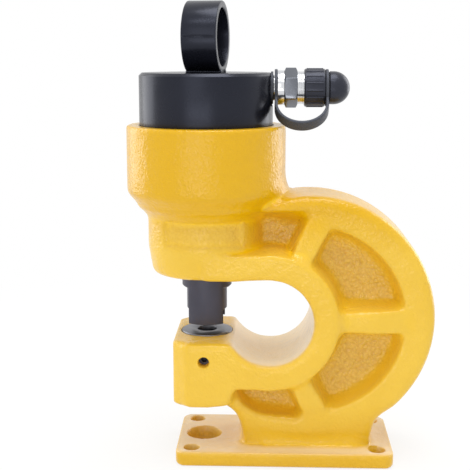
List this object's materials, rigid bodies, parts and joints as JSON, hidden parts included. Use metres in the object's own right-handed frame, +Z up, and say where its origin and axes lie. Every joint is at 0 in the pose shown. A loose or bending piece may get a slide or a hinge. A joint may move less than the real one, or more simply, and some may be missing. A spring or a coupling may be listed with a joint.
{
  "type": "hydraulic hole punch",
  "caption": "Bench hydraulic hole punch: cast yellow C-frame with spoked rim, black cylinder with lifting ring, capped coupler, sprung ram, stripper, punch and die",
  "frame": {"origin": "Middle of the base's bolt pattern, on the underside of the base plate", "axes": "+X from the jaw to the back rim, +Y from front to back, +Z up along the punch axis"},
  "size_m": [0.271, 0.14, 0.4042],
  "materials": {
    "yellow_enamel": "glossy yellow enamel over a sand-cast surface",
    "black_enamel": "satin black paint on turned steel",
    "blackened_steel": "oil-blackened steel",
    "tool_steel": "ground tool steel",
    "bright_steel": "bright machined steel",
    "spring_steel": "drawn spring wire",
    "coupler_chrome": "bright plated steel",
    "black_rubber": "black rubber",
    "cap_plastic": "black moulded plastic",
    "seal_plastic": "filled bearing plastic",
    "bronze": "bearing bronze"
  },
  "bodies": {
    "frame": {"frame": "yellow_enamel", "frame_base": "yellow_enamel", "frame_jaw": "yellow_enamel", "frame_head": "yellow_enamel", "cylinder_barrel": "black_enamel", "barrel_seal": "black_rubber", "lifting_ring": "black_enamel", "ring_weld": "black_enamel", "guide_bush": "bronze", "ram_wiper": "black_rubber", "spring_seat": "bright_steel", "return_spring": "spring_steel", "stripper": "blackened_steel", "die": "tool_steel", "die_set_screw": "blackened_steel", "coupler_body": "coupler_chrome", "coupler_seal": "black_rubber", "poppet_carrier": "bright_steel", "poppet_spring": "spring_steel", "tether_anchor": "black_rubber", "tether_strap": "black_rubber"},
    "ram": {"ram": "bright_steel", "piston": "bright_steel", "piston_seal": "black_rubber", "piston_backup_ring": "seal_plastic", "piston_wear_ring": "seal_plastic", "piston_screw": "blackened_steel", "punch_nut": "blackened_steel", "punch": "tool_steel"},
    "poppet": {"coupler_poppet": "bronze"},
    "cap_ring": {"tether_cap_ring": "black_rubber"},
    "cap": {"dust_cap": "cap_plastic"}
  },
  "joints": [
    {"name": "ram_stroke", "type": "slide", "parent": "frame", "child": "ram", "axis": [0, 0, -1], "range_m": [0, 0.014], "stiffness_N_per_m": 8000, "springref_m": -0.02, "deforming": ["return_spring"]},
    {"name": "poppet_slide", "type": "slide", "parent": "frame", "child": "poppet", "axis": [-1, 0, 0], "range_m": [0, 0.003], "stiffness_N_per_m": 800, "springref_m": -0.004, "deforming": ["poppet_spring"]},
    {"name": "cap_pull", "type": "slide", "parent": "frame", "child": "cap_ring", "axis": [1, 0, 0], "range_m": [0, 0.012], "deforming": ["tether_strap"]},
    {"name": "cap_turn", "type": "hinge", "parent": "cap_ring", "child": "cap", "pos_m": [0.024, 0, 0.33], "axis": [1, 0, 0], "range_deg": [0, 1080]}
  ],
  "couplings": [
    {"joint": "cap_turn", "follows": "cap_pull", "rad_per_m": 1570.8}
  ]
}
